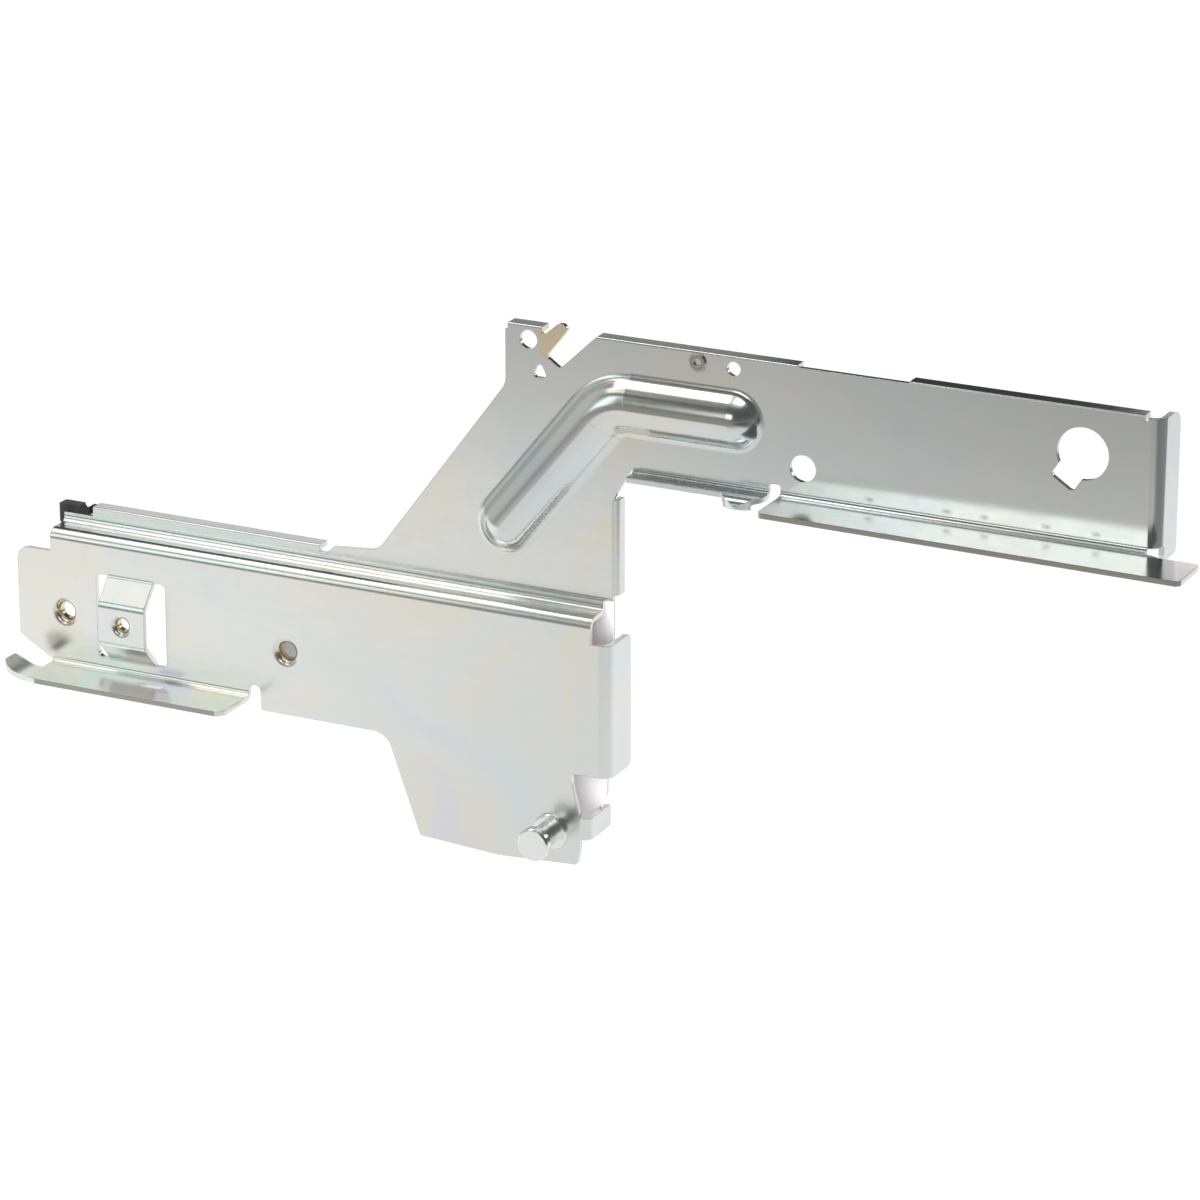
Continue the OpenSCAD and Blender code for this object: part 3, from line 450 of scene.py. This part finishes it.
# The arm's darker metal colour is painted shade, for the duller light at the right.
zinc_arm = make_zinc(
    "zinc_arm", metal=(0.73, 0.73, 0.72), roughness=0.19, tint=0.45, patch_scale=16.0,
    straw=[(hook, hook_film)],
    rings=[(pressed_ring, ring_outside, ring_inside)],
    dents=[(dent_level, dent_reach, flange_left)],
    sheared=[((-flange_slant, -1, 0), -flange_front)],
    painted_light_zones=[(lit_patch_depth, lit_patch_top)])

zinc_stud = make_zinc("zinc_stud", metal=(0.92, 0.92, 0.89), roughness=0.22, tint=0.20, patch_scale=60.0)
print("zinc materials:", [m.name for m in (zinc_plate, zinc_arm, zinc_stud)])

# %% [markdown]
# The buffer is moulded black rubber: dark, dull and slightly uneven.

# %% Rubber
def make_rubber(name):
    material, tree, shader = start_material(name)
    dust = noise(tree, object_place(tree), scale=300.0, detail=5.0)
    tone = colour_ramp(tree, dust, [(0.35, (0.012, 0.012, 0.013)), (0.80, (0.040, 0.039, 0.038))])
    skin = add_node(tree, "ShaderNodeBump", {"Strength": 0.25, "Distance": 0.0002, "Height": dust})
    set_inputs(tree, shader, {"Base Color": tone, "Roughness": 0.55, "Normal": skin.outputs["Normal"]})
    return material


black_rubber = make_rubber("black_rubber")
print("rubber:", black_rubber.name)

# %% [markdown]
# Each CAD node keeps its mesh and only gets a material in its slot.

# %% Dress the CAD nodes
finishes = {
    "front_channel": zinc_plate,
    "hinge_arm": zinc_arm,
    "pivot_stud": zinc_stud,
    "rubber_buffer": black_rubber,
}
for name, material in finishes.items():
    node = frame["nodes"][name]
    node.data.materials.clear()
    node.data.materials.append(material)
    print(name, "->", material.name, len(node.data.polygons), "faces")

# %% [markdown]
# The bracket was photographed from the front, a little from the right and above, with a long lens. The
# camera's place and directions come from lines in the photograph whose real directions are known.

# %% Camera
camera_place = Vector((0.6138, -1.2159, 0.5649))
turn_right = radians(26.1)
tip_down = radians(19.9)
camera_data = bpy.data.cameras.new("camera")
camera_data.lens = 155.1
camera_data.sensor_width = 36.0
camera_data.clip_end = 20.0
camera = bpy.data.objects.new("camera", camera_data)
bpy.context.collection.objects.link(camera)
camera.matrix_world = (Matrix.Translation(camera_place)
                       @ Matrix.Rotation(turn_right, 4, "Z")
                       @ Matrix.Rotation(pi / 2 - tip_down, 4, "X"))
bpy.context.scene.camera = camera
print("camera at", tuple(round(x, 3) for x in camera_place))

# %% [markdown]
# Metal needs something to reflect. To the camera the world is white, but the metal stands in a dim
# studio. Its front wall is dark grey, which draws the dark band along the rib and the thin dark lines in
# the folds. Its left wall is pale, for the slanted half of the rib, and its back is nearly black, which
# gives the dark top edges. Straight overhead it is pale again. The direction is read from the world's own
# texture coordinate. Dull surfaces gather their light from a plain white world instead.

# %% World
# Each wall's stops go from 0, at the horizon and below it, to 1, straight up.
FRONT_WALL = [
    (0.00, (0.28, 0.29, 0.30)),
    (0.08, (0.14, 0.16, 0.16)),
    (0.40, (0.08, 0.10, 0.10)),
    (0.60, (0.09, 0.10, 0.10)),
    (0.80, (0.12, 0.12, 0.12)),
    (0.92, (0.55, 0.56, 0.55)),
    (1.00, (0.60, 0.60, 0.60)),
]
BACK_WALL = [
    (0.00, (0.20, 0.20, 0.20)),
    (0.05, (0.05, 0.05, 0.052)),
    (0.80, (0.04, 0.04, 0.042)),
    (0.92, (0.50, 0.51, 0.50)),
    (1.00, (0.60, 0.60, 0.60)),
]
LEFT_WALL = (0.56, 0.57, 0.56, 1)
WHITE = (1, 1, 1, 1)


def add_background(tree, colour, strength):
    return add_node(tree, "ShaderNodeBackground", {"Color": colour, "Strength": strength}).outputs[0]


def build_world():
    world = bpy.data.worlds.new("studio")
    bpy.context.scene.world = world
    world.use_nodes = True
    tree = world.node_tree
    tree.nodes.clear()
    x, y, z = split(tree, add_node(tree, "ShaderNodeTexCoord").outputs["Generated"])
    leftness = fade(tree, x, span=(-0.60, -0.85), levels=(0.0, 1.0))
    sides = mix_colours(tree, leftness, colour_ramp(tree, z, FRONT_WALL), LEFT_WALL)
    turned = calculate(tree, "MULTIPLY_ADD", calculate(tree, "ABSOLUTE", x), -0.5, y)
    backness = fade(tree, turned, span=(-0.42, -0.12), levels=(0.0, 1.0))
    room = add_background(tree, mix_colours(tree, backness, sides, colour_ramp(tree, z, BACK_WALL)), 1.0)
    rays = add_node(tree, "ShaderNodeLightPath").outputs
    unseen = mix_shaders(tree, rays["Is Diffuse Ray"], room, add_background(tree, WHITE, 2.0))
    shown = mix_shaders(tree, rays["Is Camera Ray"], unseen, add_background(tree, WHITE, 1.0))
    add_node(tree, "ShaderNodeOutputWorld", {"Surface": shown})
    return world


studio = build_world()
print("world:", studio.name)

# %% [markdown]
# The floor is a wide pale table below the part. The camera sees it almost white with a faint shadow.
# The metal sees the same table at the brightness of real white card. It is brightest at the left and
# behind the part, and dimmer to the right and further forward, which is what grades the flat faces. It
# is dimmest at the far right, which draws the dark line down the bend of the arm's end flange.

# %% Floor
floor_level = -0.085
floor_reach = 6.0
PALE = (0.86, 0.86, 0.86, 1)
WARM_WHITE = (1.0, 0.99, 0.975, 1)
COOL_WHITE = (0.965, 1.0, 1.01, 1)
BACK_WHITE = (0.955, 0.965, 0.985, 1)


def floor_card(tree):
    """Makes the floor that the metal sees, as an emission that changes from place to place."""
    x, y, _ = split(tree, object_place(tree))
    across = fade(tree, x, span=(-0.32, -0.10), levels=(1.02, 0.81))
    forward = fade(tree, y, span=(-0.49, -0.555), levels=(1.0, 0.58))
    front = calculate(tree, "MULTIPLY", across, forward)
    right = fade(tree, x, span=(0.42, 0.62), levels=(1.0, 0.28))
    near = fade(tree, y, span=(-0.36, -0.18), levels=(1.0, 1.07))
    distant = fade(tree, y, span=(-0.66, -1.10), levels=(1.0, 0.5))
    level = calculate(tree, "MULTIPLY", calculate(tree, "MULTIPLY", right, near), distant)
    behind = fade(tree, y, span=(-0.05, 0.20), levels=(0.0, 1.0))
    cooler = fade(tree, y, span=(-0.38, -0.22), levels=(0.0, 1.0))
    front_tone = mix_colours(tree, cooler, WARM_WHITE, COOL_WHITE)
    tone = mix_colours(tree, behind, front_tone, BACK_WHITE)
    # A mix of numbers has them on sockets 2 and 3.
    strength = add_node(tree, "ShaderNodeMix", {0: behind, 2: front, 3: 0.95}).outputs[0]
    brightness = calculate(tree, "MULTIPLY", strength, level)
    return add_node(tree, "ShaderNodeEmission", {"Color": tone, "Strength": brightness}).outputs[0]


def make_floor_finish():
    material, tree, shader = start_material("floor_white")
    set_inputs(tree, shader, {"Base Color": PALE, "Roughness": 0.9, "Specular IOR Level": 0.0})
    white = add_node(tree, "ShaderNodeEmission", {"Color": WHITE, "Strength": 0.97}).outputs[0]
    rays = add_node(tree, "ShaderNodeLightPath").outputs
    unseen = mix_shaders(tree, rays["Is Glossy Ray"], shader.outputs[0], floor_card(tree))
    # The tenth that stays of the pale table keeps the shadow faint.
    whiteness = calculate(tree, "MULTIPLY", rays["Is Camera Ray"], 0.90)
    shown = mix_shaders(tree, whiteness, unseen, white)
    set_inputs(tree, tree.nodes["Material Output"], {"Surface": shown})
    return material


def build_floor():
    mesh = bpy.data.meshes.new("floor")
    shape = bmesh.new()
    bmesh.ops.create_grid(shape, x_segments=1, y_segments=1, size=floor_reach)
    bmesh.ops.translate(shape, verts=shape.verts, vec=(0, 0, floor_level))
    shape.to_mesh(mesh)
    shape.free()
    mesh.materials.append(make_floor_finish())
    floor = bpy.data.objects.new("floor", mesh)
    bpy.context.collection.objects.link(floor)
    return floor


floor = build_floor()
print("floor at", floor_level, "m")

# %% [markdown]
# Three soft boxes hang overhead and face straight down. The middle one draws the white line along the
# upper wall of the rib and along the ledge. The one further left and forward lights the slopes of the
# bridge. The one at the right fills the lower wall of the rib, which sees it by way of the ledge. Four
# small cards stand upright. Two in front of the part light the long flange and the foot, and two behind
# it light the rim at the left and the far tip of the long flange.

# %% Lights
overhead_height = 1.10
in_front = -0.60
behind = 0.50


def add_softbox(name, place, aim, size, brightness, tone):
    """Adds a rectangular lamp whose face has the given brightness."""
    data = bpy.data.lights.new(name, "AREA")
    data.shape = "RECTANGLE"
    data.size, data.size_y = size
    data.energy = brightness * pi * size[0] * size[1]
    data.color = tone
    lamp = bpy.data.objects.new(name, data)
    bpy.context.collection.objects.link(lamp)
    lamp.location = place
    lamp.rotation_euler = (Vector(aim) - Vector(place)).to_track_quat("-Z", "Y").to_euler()
    lamp.visible_camera = False
    print(name, "at", place, round(data.energy, 2), "W")


def hang_overhead(name, x, y, size, brightness, tone=(1, 1, 1)):
    """Hangs a soft box that faces straight down."""
    add_softbox(name, (x, y, overhead_height), (x, y, 0.0), size, brightness, tone)


def stand_card(name, x, y, z, size, brightness, tone=(1, 1, 1)):
    """Stands a card upright, square to the part's faces."""
    add_softbox(name, (x, y, z), (x, 0.0, z), size, brightness, tone)


hang_overhead("overhead", -0.52, -0.02, size=(0.48, 0.54), brightness=2.4)
hang_overhead("overhead left", -0.84, -0.50, size=(0.56, 0.56), brightness=1.2, tone=(1.0, 0.99, 0.93))
hang_overhead("overhead right", 0.20, -0.06, size=(0.60, 0.50), brightness=1.5)
stand_card("shelf card", -0.0775, in_front, 0.345, size=(0.275, 0.18), brightness=2.0, tone=(0.98, 1.0, 0.96))
stand_card("foot card", -0.50, in_front, 0.38, size=(0.28, 0.44), brightness=1.35, tone=(0.87, 1.0, 0.98))
stand_card("rim card", -0.38, behind, 0.19, size=(0.46, 0.20), brightness=0.9)
stand_card("tip card", 0.21, behind, 0.23, size=(0.42, 0.13), brightness=1.8, tone=(1.0, 0.96, 0.98))

# %% Finish
bpy.context.scene.view_settings.view_transform = "Standard"
